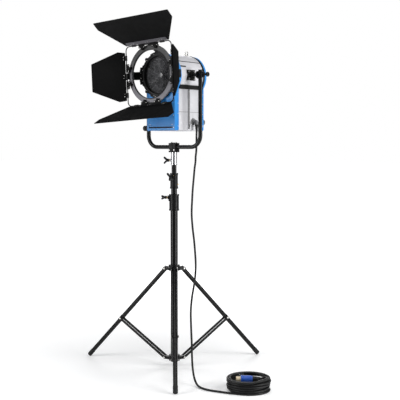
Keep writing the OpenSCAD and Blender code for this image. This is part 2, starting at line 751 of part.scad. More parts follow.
column_tube();
brace_collar();
lower_clamp();
leg_collar();
leg_1();
leg_2();
leg_3();
foot_1();
foot_2();
foot_3();
brace_1();
brace_2();
brace_3();
mid_riser_tube();
upper_clamp();
top_riser_tube();
receiver();
lower_knob();
upper_knob();
receiver_knob();
saddle();
spigot();
yoke_tube();
tilt_knob();
pivot_boss_left();
pivot_boss_right();
front_frame();
front_baffle();
housing_shell();
shell_trim();
rubber_trim();
rear_cover();
rear_knob();
safety_eye();
guide_rods();
lamp_carriage();
lamp_socket();
lamp_bulb();
reflector();
focus_knob();
focus_belt();
door_hinge();
lens_door();
fresnel_lens();
lens_retainer();
accessory_brackets();
door_latch();
top_latch();
barndoor_ring();
barndoor_frame();
leaf_top();
leaf_bottom();
leaf_left();
leaf_right();
cable_gland();
cable_head();
cable_yoke();
cable_floor();
cable_coil();
connector();
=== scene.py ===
# Looks for the fresnel spotlight on its stand. Metres, in the CAD frame: +Z up, the lens faces -Y.
import json
import math

import bmesh
import bpy
from mathutils import Matrix, Vector, noise


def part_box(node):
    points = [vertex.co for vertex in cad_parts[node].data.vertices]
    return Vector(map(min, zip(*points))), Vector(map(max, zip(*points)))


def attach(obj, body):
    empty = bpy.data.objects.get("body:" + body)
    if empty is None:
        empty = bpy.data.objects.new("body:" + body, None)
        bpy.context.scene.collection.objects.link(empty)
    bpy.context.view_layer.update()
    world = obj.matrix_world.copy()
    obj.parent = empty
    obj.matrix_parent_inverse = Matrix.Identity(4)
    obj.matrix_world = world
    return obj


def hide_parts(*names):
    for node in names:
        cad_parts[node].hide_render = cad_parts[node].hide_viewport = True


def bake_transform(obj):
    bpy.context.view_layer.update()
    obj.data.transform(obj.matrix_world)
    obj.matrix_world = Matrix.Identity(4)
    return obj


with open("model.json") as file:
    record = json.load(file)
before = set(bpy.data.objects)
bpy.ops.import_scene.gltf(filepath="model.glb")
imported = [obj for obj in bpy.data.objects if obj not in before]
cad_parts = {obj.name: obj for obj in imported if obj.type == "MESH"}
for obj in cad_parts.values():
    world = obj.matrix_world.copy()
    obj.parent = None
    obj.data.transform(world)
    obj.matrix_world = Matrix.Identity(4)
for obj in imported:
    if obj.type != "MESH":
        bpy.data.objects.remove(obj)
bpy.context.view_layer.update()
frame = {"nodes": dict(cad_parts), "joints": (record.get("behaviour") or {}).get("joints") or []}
scene = bpy.context.scene
nodes = frame["nodes"]
joints = {j["name"]: j for j in frame["joints"]}

LAMP = Vector((0, 0, joints["tilt"]["pos_m"][2]))     # where the lens axis crosses the tilt axis
ROUTE_TURN = math.radians(40)                         # the lead's plan directions, turned about Z
TAU = 2 * math.pi


# ---- stage ------------------------------------------------------------------------------------

def make_camera():
    distance, height, focal, pitch, yaw = 5.497, 1.352, 81.6, 3.41, 1.64
    data = bpy.data.cameras.new("camera")
    data.lens = focal
    data.sensor_width = 36
    camera = bpy.data.objects.new("camera", data)
    scene.collection.objects.link(camera)
    camera.location = (distance * math.sin(ROUTE_TURN), -distance * math.cos(ROUTE_TURN), height)
    camera.rotation_euler = (math.radians(90 - pitch), 0, ROUTE_TURN - math.radians(yaw))
    scene.camera = camera


def area_light(name, place, target, width, height, power):
    data = bpy.data.lights.new(name, "AREA")
    data.shape = "RECTANGLE"
    data.size, data.size_y = width, height
    data.energy = power
    light = bpy.data.objects.new(name, data)
    scene.collection.objects.link(light)
    light.location = place
    light.rotation_euler = (Vector(target) - Vector(place)).to_track_quat("-Z", "Y").to_euler()


def make_stage():
    scene.view_settings.view_transform = "Standard"
    world = bpy.data.worlds.new("studio")
    scene.world = world
    world.use_nodes = True
    tree = world.node_tree
    tree.nodes.clear()
    seen, lit, mix = (tree.nodes.new("ShaderNode" + k) for k in ("Background", "Background", "MixShader"))
    seen.inputs["Color"].default_value = (1, 1, 1, 1)
    seen.inputs["Strength"].default_value = 1.0
    lit.inputs["Color"].default_value = (0.93, 0.96, 1.0, 1)
    lit.inputs["Strength"].default_value = 0.16
    path = tree.nodes.new("ShaderNodeLightPath")
    out = tree.nodes.new("ShaderNodeOutputWorld")
    tree.links.new(path.outputs["Is Camera Ray"], mix.inputs[0])
    tree.links.new(lit.outputs[0], mix.inputs[1])
    tree.links.new(seen.outputs[0], mix.inputs[2])
    tree.links.new(mix.outputs[0], out.inputs["Surface"])
    area_light("right", (2.9, 0.5, 1.7), (0, 0, 1.3), 1.7, 3.2, 96)
    area_light("left", (-1.4, -2.9, 1.7), (0, 0, 1.3), 1.5, 3.2, 78)
    area_light("back", (-2.4, 3.6, 2.6), (0, 0, 1.3), 2.2, 2.2, 70)
    area_light("top", (1.2, -1.4, 4.6), (0, 0, 1.2), 2.0, 2.0, 48)
    bm = bmesh.new()
    bmesh.ops.create_grid(bm, x_segments=1, y_segments=1, size=60)
    mesh = bpy.data.meshes.new("floor")
    bm.to_mesh(mesh)
    bm.free()
    floor = bpy.data.objects.new("floor", mesh)
    scene.collection.objects.link(floor)
    pale = bpy.data.materials.new("floor")
    pale.use_nodes = True
    tree = pale.node_tree
    shader = tree.nodes["Principled BSDF"]
    shader.inputs["Base Color"].default_value = (0.93, 0.93, 0.93, 1)
    shader.inputs["Roughness"].default_value = 0.7
    shader.inputs["Emission Color"].default_value = (1, 1, 1, 1)
    coords, far, glow = (tree.nodes.new("ShaderNode" + k) for k in ("TexCoord", "VectorMath", "MapRange"))
    far.operation = "LENGTH"
    for socket, value in (("From Min", 0.5), ("From Max", 3.6), ("To Min", 0.12), ("To Max", 0.9)):
        glow.inputs[socket].default_value = value
    path, seen = (tree.nodes.new("ShaderNode" + k) for k in ("LightPath", "Math"))
    seen.operation = "MULTIPLY"
    tree.links.new(coords.outputs["Object"], far.inputs[0])
    tree.links.new(far.outputs["Value"], glow.inputs["Value"])
    tree.links.new(glow.outputs[0], seen.inputs[0])
    tree.links.new(path.outputs["Is Camera Ray"], seen.inputs[1])
    tree.links.new(seen.outputs[0], shader.inputs["Emission Strength"])
    floor.data.materials.append(pale)


make_camera()
make_stage()


# ---- materials --------------------------------------------------------------------------------

def grey(value):
    return (value, value, value * 1.02)


class Graph:
    """A material's node tree around one Principled shader."""

    def __init__(self, name, **settings):
        self.material = bpy.data.materials.new(name)
        self.material.use_nodes = True
        self.tree = self.material.node_tree
        self.shader = self.tree.nodes["Principled BSDF"]
        for socket, value in settings.items():
            self.shader.inputs[socket.replace("_", " ")].default_value = value
        self.place = self.tree.nodes.new("ShaderNodeTexCoord").outputs["Object"]

    def node(self, kind, inputs=(), **values):
        made = self.tree.nodes.new("ShaderNode" + kind)
        for key, value in values.items():
            setattr(made, key, value)
        for socket, value in dict(inputs).items():
            self.put(made.inputs[socket], value)
        return made

    def put(self, socket, value):
        if isinstance(value, bpy.types.NodeSocket):
            self.tree.links.new(value, socket)
        elif isinstance(value, (tuple, list)) and len(value) == 3 and socket.type == "RGBA":
            socket.default_value = (*value, 1)
        else:
            socket.default_value = value

    def noise(self, scale, detail=3, stretch=None, rough=0.55):
        place = self.place
        if stretch:
            place = self.node("Mapping", {"Vector": place, "Scale": stretch}).outputs[0]
        inputs = {"Vector": place, "Scale": scale, "Detail": detail, "Roughness": rough}
        return self.node("TexNoise", inputs).outputs[0]

    def cells(self, scale, feature="F1"):
        inputs = {"Vector": self.place, "Scale": scale}
        return self.node("TexVoronoi", inputs, feature=feature).outputs["Distance"]

    def span(self, value, low, high, start=0.3, end=0.7):
        inputs = {"Value": value, "From Min": start, "From Max": end, "To Min": low, "To Max": high}
        return self.node("MapRange", inputs).outputs[0]

    def blend(self, factor, a, b):
        made = self.node("Mix", data_type="RGBA")
        self.put(made.inputs[0], factor)
        self.put(made.inputs[6], a)
        self.put(made.inputs[7], b)
        return made.outputs[2]

    def bump(self, height, strength, distance, normal=None):
        inputs = {"Height": height, "Strength": strength, "Distance": distance}
        made = self.node("Bump", inputs)
        if normal:
            self.tree.links.new(normal, made.inputs["Normal"])
        return made.outputs[0]

    def finish(self, color=None, roughness=None, normal=None):
        for socket, value in (("Base Color", color), ("Roughness", roughness), ("Normal", normal)):
            if value is not None:
                self.put(self.shader.inputs[socket], value)
        return self.material


def shade(color, k):
    return tuple(min(1.0, c * k) for c in color)


def coated(name, color, rough, metallic=0.0, grain=900, bump=0.12, spread=0.16, coat=0.0, streak=None,
           shine=0.5):
    """A painted or powder-coated surface: fine orange peel, uneven gloss and faint rubs."""
    g = Graph(name, Metallic=metallic, Coat_Weight=coat, Coat_Roughness=0.18, Specular_IOR_Level=shine)
    cloud = g.noise(7, 4)
    rubs = g.noise(60, 5, stretch=streak or (1, 1, 0.12))
    tone = g.blend(g.span(cloud, 0, 1), shade(color, 1 - spread), shade(color, 1 + spread))
    tone = g.blend(g.span(rubs, 0, 0.35, 0.56, 0.8), tone, shade(color, 1.9))
    gloss = g.span(g.noise(22, 5), rough - 0.07, rough + 0.09)
    normal = g.bump(g.noise(grain, 2), bump, 0.0004)
    normal = g.bump(cloud, bump * 0.4, 0.002, normal)
    return g.finish(tone, gloss, normal)


def cast(name, color, rough, metallic=0.2, shine=0.4):
    """Die-cast or moulded: a pebbly skin with soft blotches."""
    g = Graph(name, Metallic=metallic, Specular_IOR_Level=shine)
    tone = g.blend(g.span(g.noise(14, 4), 0, 1), shade(color, 0.78), shade(color, 1.25))
    pebbles = g.cells(850)
    normal = g.bump(pebbles, 0.22, 0.0005)
    normal = g.bump(g.noise(120, 3), 0.12, 0.0008, normal)
    return g.finish(tone, g.span(g.noise(35, 4), rough - 0.08, rough + 0.1), normal)


def bright(name, color, rough, along=(1, 1, 0.05), brushed=0.1):
    """Plated or brushed metal with fine lines along one direction."""
    g = Graph(name, Metallic=1.0)
    lines = g.noise(500, 3, stretch=along)
    tone = g.blend(g.span(g.noise(12, 3), 0, 1), shade(color, 0.9), color)
    gloss = g.span(lines, rough * 0.7, rough * 1.5)
    return g.finish(tone, gloss, g.bump(lines, brushed, 0.0002))


def rubber(name, color, rough, grain=700, shine=0.5):
    g = Graph(name, Specular_IOR_Level=shine)
    tone = g.blend(g.span(g.noise(18, 5), 0, 1), shade(color, 0.7), shade(color, 1.5))
    normal = g.bump(g.noise(grain, 3), 0.18, 0.0004)
    return g.finish(tone, g.span(g.noise(55, 4), rough - 0.1, rough + 0.1), normal)


def lens_glass():
    """Pressed glass: clear at the rings, with waves from the mould; its dark grey tint is painted shade for
    the unlit inside of the lamp.
    """
    g = Graph("lens_glass", Transmission_Weight=0.5, IOR=1.5, Specular_IOR_Level=0.6)
    # painted shade: the dark grey of the glass stands in for the dark lamp seen through it
    tone = g.blend(g.span(g.noise(34, 4), 0, 1), (0.09, 0.09, 0.095), (0.26, 0.26, 0.272))
    normal = g.bump(g.cells(150), 0.1, 0.002)
    return g.finish(tone, g.span(g.noise(90, 3), 0.12, 0.3), normal)


def clear_glass():
    g = Graph("quartz", Transmission_Weight=0.95, IOR=1.46)
    tone = g.blend(g.span(g.noise(40, 2), 0, 1), (0.84, 0.88, 0.9), (0.95, 0.97, 0.98))
    return g.finish(tone, g.span(g.noise(80, 2), 0.01, 0.06))


def blue_coat():
    """Blue powder coat on sheet aluminium, a little lighter where hands rub it."""
    g = Graph("blue_coat", Coat_Weight=0.25, Coat_Roughness=0.2)
    deep, light = (0.019, 0.205, 0.58), (0.037, 0.285, 0.70)
    tone = g.blend(g.span(g.noise(5, 5), 0, 1), deep, light)
    tone = g.blend(g.span(g.noise(70, 6, stretch=(1, 1, 0.2)), 0, 0.3, 0.58, 0.8), tone, (0.2, 0.42, 0.75))
    normal = g.bump(g.noise(800, 2), 0.12, 0.0004)
    return g.finish(tone, g.span(g.noise(26, 4), 0.3, 0.46), normal)


def silver_coat():
    """Silver coat with fine lines round the housing and soft darker streaks, which are painted reflections.
    """
    g = Graph("silver_coat", Metallic=0.4)
    lines = g.noise(420, 4, stretch=(1, 0.04, 1))
    tone = g.blend(g.span(g.noise(6, 5), 0, 1), (0.68, 0.675, 0.71), (0.84, 0.835, 0.865))
    # painted reflection: soft darker streaks across the silver
    tone = g.blend(g.span(g.noise(40, 6, stretch=(1, 0.3, 1)), 0, 0.35, 0.6, 0.8), tone, (0.5, 0.5, 0.53))
    gloss = g.span(g.noise(30, 4), 0.3, 0.46)
    return g.finish(tone, gloss, g.bump(lines, 0.16, 0.0003))


def ring_coat():
    """The ring's grey coat, with painted shade: darker towards its top, lighter towards its bottom, and
    random patches.
    """
    g = Graph("ring_grey", Metallic=0.35)
    height = g.node("SeparateXYZ", {0: g.place}).outputs["Z"]
    # painted shade and light: the coat is darker towards the ring's top and lighter towards its bottom
    low = g.span(height, 0, 1, 1.90, 1.58)
    painted_shade_and_patches = g.node("Math", {0: low, 1: g.span(g.noise(16, 4), -0.12, 0.12)}, operation="ADD").outputs[0]
    tone = g.blend(painted_shade_and_patches, grey(0.015), (0.14, 0.136, 0.152))
    normal = g.bump(g.noise(1100, 2), 0.12, 0.0004)
    return g.finish(tone, g.span(g.noise(22, 5), 0.34, 0.5), normal)


M = {
    "stand": coated("stand_black", grey(0.004), 0.22, bump=0.03, shine=0.24),
    "riser": coated("riser_black", grey(0.004), 0.16, bump=0.02, streak=(1, 1, 0.03), shine=0.26),
    "cast": cast("cast_black", grey(0.005), 0.34, 0.0, shine=0.2),
    "head_black": cast("head_black", grey(0.006), 0.42, 0.0, shine=0.25),
    "leaf": coated("leaf_black", grey(0.0045), 0.6, grain=1300, bump=0.2, spread=0.3,
                   streak=(0.3, 1, 1), shine=0.1),
    # painted sheen: the top leaf's hinge strip is a lighter grey than the black leaf, for the light its bent
    # flange catches
    "strip": coated("strip_painted_sheen", (0.135, 0.13, 0.145), 0.42, 0.3, grain=1300),
    "ring": ring_coat(),
    "yoke": coated("yoke_black", grey(0.004), 0.2, bump=0.03, shine=0.25),
    "blue": blue_coat(),
    "silver": silver_coat(),
    "trim": coated("trim_grey", grey(0.24), 0.42, 0.4),
    "seam": rubber("seam_black", grey(0.006), 0.5, shine=0.2),
    "rail": rubber("rail_black", grey(0.006), 0.5, shine=0.2),
    "foot": rubber("foot_rubber", grey(0.009), 0.6, grain=500, shine=0.3),
    "cable": rubber("cable_rubber", grey(0.006), 0.44, grain=900, shine=0.26),
    "knob": cast("knob_plastic", grey(0.007), 0.36, 0.0, shine=0.3),
    "gland": cast("gland_grey", (0.16, 0.16, 0.17), 0.42, 0.0),
    "chrome": bright("chrome", (0.70, 0.70, 0.72), 0.1),
    "zinc": bright("zinc", (0.62, 0.61, 0.59), 0.3, along=(1, 1, 1), brushed=0.2),
    "brass": bright("brass", (0.78, 0.53, 0.22), 0.24, along=(1, 1, 1)),
    "mirror": bright("mirror", (0.9, 0.9, 0.91), 0.06, brushed=0.02),
    "sheet": bright("inner_sheet", (0.32, 0.32, 0.34), 0.4, along=(0.05, 1, 1)),
    "lens": lens_glass(),
    "quartz": clear_glass(),
    "ceramic": cast("ceramic", (0.72, 0.70, 0.63), 0.5, 0.0),
    "plug_blue": coated("plug_blue", (0.012, 0.075, 0.40), 0.3, grain=700, coat=0.2),
    "plug_tip": coated("plug_tip", (0.70, 0.58, 0.40), 0.4, grain=700),
    "slot_dark": coated("slot_dark", grey(0.006), 0.7),
}


# ---- mesh tools -------------------------------------------------------------------------------

def turn(axis, degrees):
    return Matrix.Rotation(math.radians(degrees), 4, axis)


def move(*v):
    return Matrix.Translation(Vector(v))


def mm(*v):
    return Vector(v) / 1000


def facing(origin, direction, spin=0.0):
    """A frame at origin whose Z points along direction."""
    z_turn = Vector(direction).to_track_quat("Z", "Y").to_matrix().to_4x4()
    return Matrix.Translation(Vector(origin)) @ z_turn @ Matrix.Rotation(spin, 4, "Z")


def skin(bm, a, b):
    """Faces between two rings of vertices; either may be a single point."""
    n = max(len(a), len(b))
    for k in range(n):
        corners = [a[k % len(a)], a[(k + 1) % len(a)], b[(k + 1) % len(b)], b[k % len(b)]]
        unique = list(dict.fromkeys(corners))
        if len(unique) > 2:
            bm.faces.new(unique)


def lathe(bm, profile, place, segments=40, closed=False, flute=None):
    """Turns a profile of (radius, height), in mm, about place's Z. flute is (count, depth in mm)."""
    rings = []
    for radius, height in profile:
        if radius < 1e-6:
            rings.append([bm.verts.new(place @ mm(0, 0, height))])
            continue
        ring = []
        for k in range(segments):
            angle = TAU * k / segments
            r = radius
            if flute:
                r -= flute[1] * (0.5 - 0.5 * math.cos(angle * flute[0])) ** 2
            ring.append(bm.verts.new(place @ mm(r * math.cos(angle), r * math.sin(angle), height)))
        rings.append(ring)
    if closed:
        rings.append(rings[0])
    for a, b in zip(rings, rings[1:]):
        skin(bm, a, b)


def frames_along(path):
    """A tangent, side and up direction at each point of a path, carried along without twist."""
    last = len(path) - 1
    tangents = [(path[min(i + 1, last)] - path[max(i - 1, 0)]).normalized() for i in range(last + 1)]
    side = tangents[0].orthogonal().normalized()
    made = []
    for t in tangents:
        side = (side - t * side.dot(t)).normalized()
        made.append((t, side, t.cross(side)))
    return made


def sweep(bm, path, radius, sides=12, flat=1.0):
    """A tube along a path in metres. radius is a number in mm or one for each point."""
    rings = []
    for i, (point, (_, u, v)) in enumerate(zip(path, frames_along(path))):
        r = (radius[i] if hasattr(radius, "__len__") else radius) / 1000
        angles = [TAU * k / sides for k in range(sides)]
        spots = [point + u * (r * math.cos(a)) + v * (r * flat * math.sin(a)) for a in angles]
        rings.append([bm.verts.new(spot) for spot in spots])
    for a, b in zip(rings, rings[1:]):
        skin(bm, a, b)
    skin(bm, rings[0], [bm.verts.new(path[0])])
    skin(bm, [bm.verts.new(path[-1])], rings[-1])


def slab(bm, outline, low, high, place):
    """An outline in mm, given anticlockwise, between two heights along place's Z."""
    bottom = [bm.verts.new(place @ mm(x, y, low)) for x, y in outline]
    top = [bm.verts.new(place @ mm(x, y, high)) for x, y in outline]
    bm.faces.new(reversed(bottom))
    bm.faces.new(top)
    skin(bm, bottom, top)


def block(bm, x, y, z, place):
    slab(bm, [(x[0], y[0]), (x[1], y[0]), (x[1], y[1]), (x[0], y[1])], z[0], z[1], place)


def border(bm, outer, inner, low, high, place):
    """A closed frame between two outlines with the same number of points."""
    loops = [[bm.verts.new(place @ mm(x, y, h)) for x, y in line]
             for line, h in ((outer, low), (outer, high), (inner, high), (inner, low))]
    for a, b in zip(loops, loops[1:] + loops[:1]):
        skin(bm, a, b)


def inset(outline, distance):
    """A convex anticlockwise outline moved inwards."""
    n = len(outline)
    lines = []
    for i in range(n):
        p, q = Vector(outline[i]), Vector(outline[(i + 1) % n])
        d = (q - p).normalized()
        lines.append((p + Vector((-d.y, d.x)) * distance, d))
    made = []
    for i in range(n):
        (p, d), (q, e) = lines[i - 1], lines[i]
        cross = d.x * e.y - d.y * e.x
        t = ((q.x - p.x) * e.y - (q.y - p.y) * e.x) / cross
        made.append(tuple(p + d * t))
    return made


def rounded(outline, radius, steps=5):
    """The same outline with each corner as an arc."""
    made = []
    n = len(outline)
    for i in range(n):
        corner = Vector(outline[i])
        before = (Vector(outline[i - 1]) - corner).normalized()
        after = (Vector(outline[(i + 1) % n]) - corner).normalized()
        half = before.angle(after) / 2
        reach = radius / math.tan(half)
        centre = corner + (before + after).normalized() * (radius / math.sin(half))
        start, end = corner + before * reach - centre, corner + after * reach - centre
        sweep_angle = start.angle_signed(end)
        for k in range(steps + 1):
            a = -sweep_angle * k / steps
            made.append((centre.x + start.x * math.cos(a) - start.y * math.sin(a),
                         centre.y + start.x * math.sin(a) + start.y * math.cos(a)))
    return made


def dome(bm, place, r, h, segments=20):
    """A rivet's or button's round head."""
    profile = [(0, -0.2), (r, -0.2), (r, h * 0.25), (r * 0.92, h * 0.55), (r * 0.68, h * 0.85), (0, h)]
    lathe(bm, profile, place, segments)


def pan_screw(bm, place, r=3.0, h=1.8):
    """A pan head with a cross recess."""
    lathe(bm, [(0, -0.2), (r, -0.2), (r, h * 0.45), (r * 0.86, h * 0.8), (r * 0.55, h), (r * 0.2, h),
               (r * 0.14, h * 0.4), (0, h * 0.35)], place, 20)
    for k in range(2):
        across = place @ turn("Z", 90 * k)
        block(bm, (-r * 0.55, r * 0.55), (-r * 0.09, r * 0.09), (h * 0.9, h + 0.05), across)


def hex_nut(bm, place, r=6.0, h=5.0):
    lathe(bm, [(0, 0), (r * 0.92, 0), (r, h * 0.12), (r, h * 0.85), (r * 0.9, h), (0, h)], place, 6)
    lathe(bm, [(0, h), (r * 0.5, h), (r * 0.5, h + 1.8), (r * 0.4, h + 2.4), (0, h + 2.4)], place, 18)


def piece(name, bm, material, body, replaces=(), bevel=0.0, angle=38):
    """Makes the object, its edges and its finish, and lets it ride on its body."""
    bmesh.ops.remove_doubles(bm, verts=bm.verts, dist=1e-7)
    bmesh.ops.recalc_face_normals(bm, faces=bm.faces)
    mesh = bpy.data.meshes.new(name)
    bm.to_mesh(mesh)
    bm.free()
    mesh.shade_smooth()
    mesh.set_sharp_from_angle(angle=math.radians(angle))
    made = bpy.data.objects.new(name, mesh)
    scene.collection.objects.link(made)
    mesh.materials.append(M[material])
    if bevel:
        soften(made, bevel)
    if body:
        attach(made, body)
    if replaces:
        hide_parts(*replaces)
    return made


def soften(obj, width):
    edge = obj.modifiers.new("edges", "BEVEL")
    edge.width = width / 1000
    edge.segments = 2
    edge.limit_method = "ANGLE"
    edge.angle_limit = math.radians(40)
    edge.use_clamp_overlap = True
    edge.harden_normals = True


# ---- the lead ---------------------------------------------------------------------------------

CABLE_R = 6.0                                          # mm
HEAD_ROUTE = [(0.134, 0.052, 1.468), (0.136, 0.050, 1.449), (0.140, 0.043, 1.420), (0.147, 0.034, 1.387)]
YOKE_ROUTE = [(0.152, 0.027, 1.362), (0.156, 0.022, 1.338), (0.157, 0.018, 1.312), (0.155, 0.016, 1.290)]
FLOOR_ROUTE = [
    (0.128, 0.089, 1.260), (0.122, 0.094, 1.215), (0.118, 0.101, 1.170), (0.111, 0.115, 1.095),
    (0.107, 0.125, 1.030), (0.104, 0.140, 0.950), (0.109, 0.160, 0.870), (0.117, 0.180, 0.800),
    (0.123, 0.200, 0.725), (0.126, 0.215, 0.665), (0.124, 0.231, 0.605), (0.116, 0.246, 0.545),
    (0.103, 0.264, 0.470), (0.096, 0.283, 0.395), (0.097, 0.308, 0.310), (0.100, 0.340, 0.220),
    (0.101, 0.366, 0.150), (0.104, 0.392, 0.092), (0.112, 0.425, 0.042), (0.126, 0.466, 0.014),
    (0.148, 0.514, 0.0065), (0.186, 0.562, 0.0065), (0.238, 0.595, 0.0065), (0.310, 0.635, 0.0065),
]
COIL_AT = (0.410, 0.549)
COIL_R, COIL_PITCH = 0.117, 0.0124                     # of the outermost turn, and from one ring to the next
COIL_FLOOR, LAYER = 0.0065, 0.012
LAYERS = [(4, 1), (4, -1), (4, 1), (4, -1), (1, 1), (1, -1)]   # steps between rings, inwards or outwards
STEP_TURN, CLIMB_GAP = 50, 310                         # degrees a step takes, and from a step to a climb
ENTRY_ANGLE = 119.5                                    # where the lead meets the coil
BEND_R = 0.0481                                        # of the last bend, into the connector
PLUG_UP = 0.0638


def place(a, b, z):
    """A point given as right, forward and up as seen from the stand's first leg."""
    c, s = math.cos(ROUTE_TURN), math.sin(ROUTE_TURN)
    return Vector((a * c + b * s, a * s - b * c, z))


def curve_through(points, step=0.006):
    """A smooth curve through the points, sampled evenly enough to sweep."""
    made = []
    for i in range(len(points) - 1):
        p0, p1, p2 = points[max(i - 1, 0)], points[i], points[i + 1]
        p3 = points[min(i + 2, len(points) - 1)]
        span = (p2 - p1).length
        m1 = (p2 - p0) * (span / max((p2 - p1).length + (p1 - p0).length, 1e-9))
        m2 = (p3 - p1) * (span / max((p3 - p2).length + (p2 - p1).length, 1e-9))
        n = max(1, round(span / step))
        for k in range(n):
            t = k / n
            h = (2 * t**3 - 3 * t**2 + 1, t**3 - 2 * t**2 + t, -2 * t**3 + 3 * t**2, t**3 - t**2)
            made.append(p1 * h[0] + m1 * h[1] + p2 * h[2] + m2 * h[3])
    return made + [points[-1]]


def ease(x):
    x = min(1.0, max(0.0, x))
    return x * x * (3 - 2 * x)


def coil_events(first):
    """Where each step to the next ring and each climb to the next layer starts, in degrees along the coil."""
    made, at = [], first
    for steps, way in LAYERS:
        for _ in range(steps):
            made.append((at, way, 0))
            at += 360
        at -= STEP_TURN
        made.append((at, 0, 1))
        at += CLIMB_GAP
    return made


def coil_path():
    """Four layers of five rings, two layers of two rings on their rim, and the bend into the connector."""
    bend_x = math.sqrt((COIL_R - BEND_R) ** 2 - BEND_R ** 2)
    leave = math.degrees(math.atan2(BEND_R, bend_x))
    settle = STEP_TURN + 2
    first = (ENTRY_ANGLE - leave - settle - coil_events(0)[-1][0]) % 360
    events = coil_events(first)
    end = events[-1][0] + settle
    made = []
    for n in range(int(end / 5) + 1):
        at = min(end, n * 5)
        ring = sum(way * ease((at - start) / STEP_TURN) for start, way, _ in events)
        layer = sum(up * ease((at - start) / STEP_TURN) for start, _, up in events)
        angle = math.radians(ENTRY_ANGLE - at)
        loose = 0.0022 * min(1, layer) * (1 - ease(layer - 5))
        radius = COIL_R - COIL_PITCH * ring + 0.7 * loose * math.cos(2 * angle + 1.7 * layer)
        x = radius * math.cos(angle) + loose * math.sin(1.9 * layer)
        y = radius * math.sin(angle) + loose * math.cos(2.3 * layer)
        made.append((x, y, COIL_FLOOR + LAYER * layer * (1 + 0.07 * (0.5 - 0.5 * math.sin(angle)))))
    top = made[-1][2]
    swing = 90 + leave
    for s in range(8, int(swing), 6):
        angle = math.radians(leave - s)
        up = top - (top - PLUG_UP) * ease((s - 55) / (swing - 60))
        made.append((bend_x + BEND_R * math.cos(angle), BEND_R + BEND_R * math.sin(angle), up))
    made.append((bend_x - 0.006, 0, PLUG_UP))
    return [place(COIL_AT[0] + a, COIL_AT[1] + b, z) for a, b, z in made]


def cord_piece(name, path, bodies, zone, sides=16, replaces=()):
    """One stretch of the lead. zone is the two heights between which it passes from one body to the next;
    only whether it is given is read, and a stretch with a zone rides no body.
    """
    bm = bmesh.new()
    sweep(bm, path, CABLE_R, sides)
    made = piece(name, bm, "cable", None if zone else bodies[0], replaces, angle=60)
    if zone:
        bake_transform(made)
    return made


def make_connector():
    """The connector on the lead's end: ribbed body, collar, pale tip with three pins, strain relief."""
    along = place(1, 0, 0) - place(0, 0, 0)
    base = place(COIL_AT[0] - 0.008, COIL_AT[1], PLUG_UP - 0.0003)
    out = facing(base, along)
    bm = bmesh.new()
    grip = [(0, 30), (16.5, 30), (17.5, 27), (18.6, 22), (19, 16), (19, -22), (18.2, -26), (0, -26)]
    lathe(bm, grip, out, 72, flute=(18, 0.9))
    collar = [(19, -25.5), (21, -26.5), (21, -33), (20.2, -34), (15, -34), (15, -25)]
    lathe(bm, collar, out, 48, closed=True)
    body = piece("connector_body", bm, "plug_blue", "stand_base", ["connector"])
    bm = bmesh.new()
    nose = [(14, -33), (14, -58), (13.4, -59.6), (12.4, -60), (11.6, -59.4), (11.6, -42), (0, -42)]
    lathe(bm, nose, out, 40)
    for k in range(3):
        pin = out @ turn("Z", 120 * k + 30) @ move(0.006, 0, 0)
        lathe(bm, [(0, -42), (1.9, -42), (1.9, -55), (1.2, -56.5), (0, -56.8)], pin, 14)
    tip = piece("connector_tip", bm, "plug_tip", "stand_base")
    bm = bmesh.new()
    lathe(bm, [(0, 28), (15, 28), (15, 36), (13.8, 38), (12.6, 38.5), (12.6, 41), (11.4, 43), (9.6, 44.5),
               (9.6, 46.5), (8.2, 50), (6.6, 54), (0, 54)], out, 40, flute=(20, 0.5))
    relief = piece("connector_relief", bm, "seam", "stand_base")
    return [body, tip, relief]


def make_lead():
    whole = [Vector(p) for p in HEAD_ROUTE + YOKE_ROUTE] + [place(*p) for p in FLOOR_ROUTE]
    coil = coil_path()
    whole = curve_through(whole + coil)
    cuts = [1.396, 1.318, 0.90, 0.60, 0.20]
    marks = [next(i for i, p in enumerate(whole) if p.z < z) for z in cuts]
    starts, ends = [0, *marks], [*marks, len(whole) - 1]
    parts = [whole[a:b + 1] for a, b in zip(starts, ends)]
    plug = make_connector()
    bodies = ["head", "yoke", "top_riser", "mid_riser", "stand_base"]
    cord_piece("lead_head", parts[0], ["head"], None, replaces=["cable_head"])
    cord_piece("lead_tilt", parts[1], bodies[0:2], (1.396, 1.368))
    cord_piece("lead_pan", parts[2], bodies[1:3], (1.310, 0.905), replaces=["cable_yoke"])
    cord_piece("lead_top_riser", parts[3], bodies[2:4], (0.895, 0.605))
    cord_piece("lead_mid_riser", parts[4], bodies[3:5], (0.595, 0.205))
    cord_piece("lead_floor", parts[5], ["stand_base"], None, sides=12,
               replaces=["cable_floor", "cable_coil"])


make_lead()


# ---- lamp head --------------------------------------------------------------------------------

def head(x, y, z):
    """A point in mm from where the lens axis crosses the tilt axis."""
    return LAMP + mm(x, y, z)


